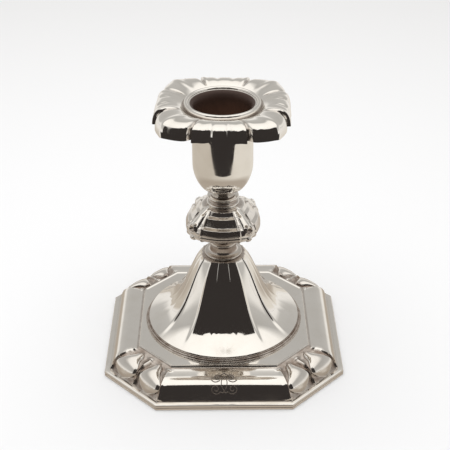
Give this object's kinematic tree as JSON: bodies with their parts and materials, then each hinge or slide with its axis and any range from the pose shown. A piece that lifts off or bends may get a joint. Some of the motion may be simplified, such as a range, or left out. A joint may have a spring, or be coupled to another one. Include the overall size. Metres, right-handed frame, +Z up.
{
  "type": "candlestick",
  "caption": "Short table candlestick in sheet silver with a weighted octagonal foot, fluted column, lobed knop and a lift-out nozzle with a scalloped drip pan.",
  "frame": {"origin": "centre of the foot on the surface it stands on", "axes": "+Z up along the column, X and Y across the flats of the octagonal foot"},
  "size_m": [0.102, 0.102, 0.1158],
  "materials": {
    "silver": "polished, finely scratched",
    "tarnished_silver": "polished with brown tarnish",
    "steel": "plain",
    "filler": "matt",
    "felt": "napped"
  },
  "bodies": {
    "stand": {"felt_pad": "felt", "closing_plate": "steel", "foot_wire": "silver", "base_shell": "silver", "pitch_filler": "filler", "load_washer": "steel", "bottom_nut": "steel", "tie_rod": "steel", "dome_ring": "tarnished_silver", "column_shell": "silver", "lower_collar": "silver", "knop_lower": "silver", "knop_spacer": "steel", "knop_upper": "silver", "spool_collar": "silver", "socket_foot": "silver", "socket_cup": "silver", "socket_washer": "steel", "top_nut": "steel"},
    "nozzle": {"nozzle_sleeve": "tarnished_silver", "nozzle_bead": "silver", "nozzle_pan": "silver"}
  },
  "joints": [
    {"name": "nozzle_lift", "type": "slide", "parent": "stand", "child": "nozzle", "axis": [0, 0, 1], "range_m": [0, 0.03]}
  ]
}
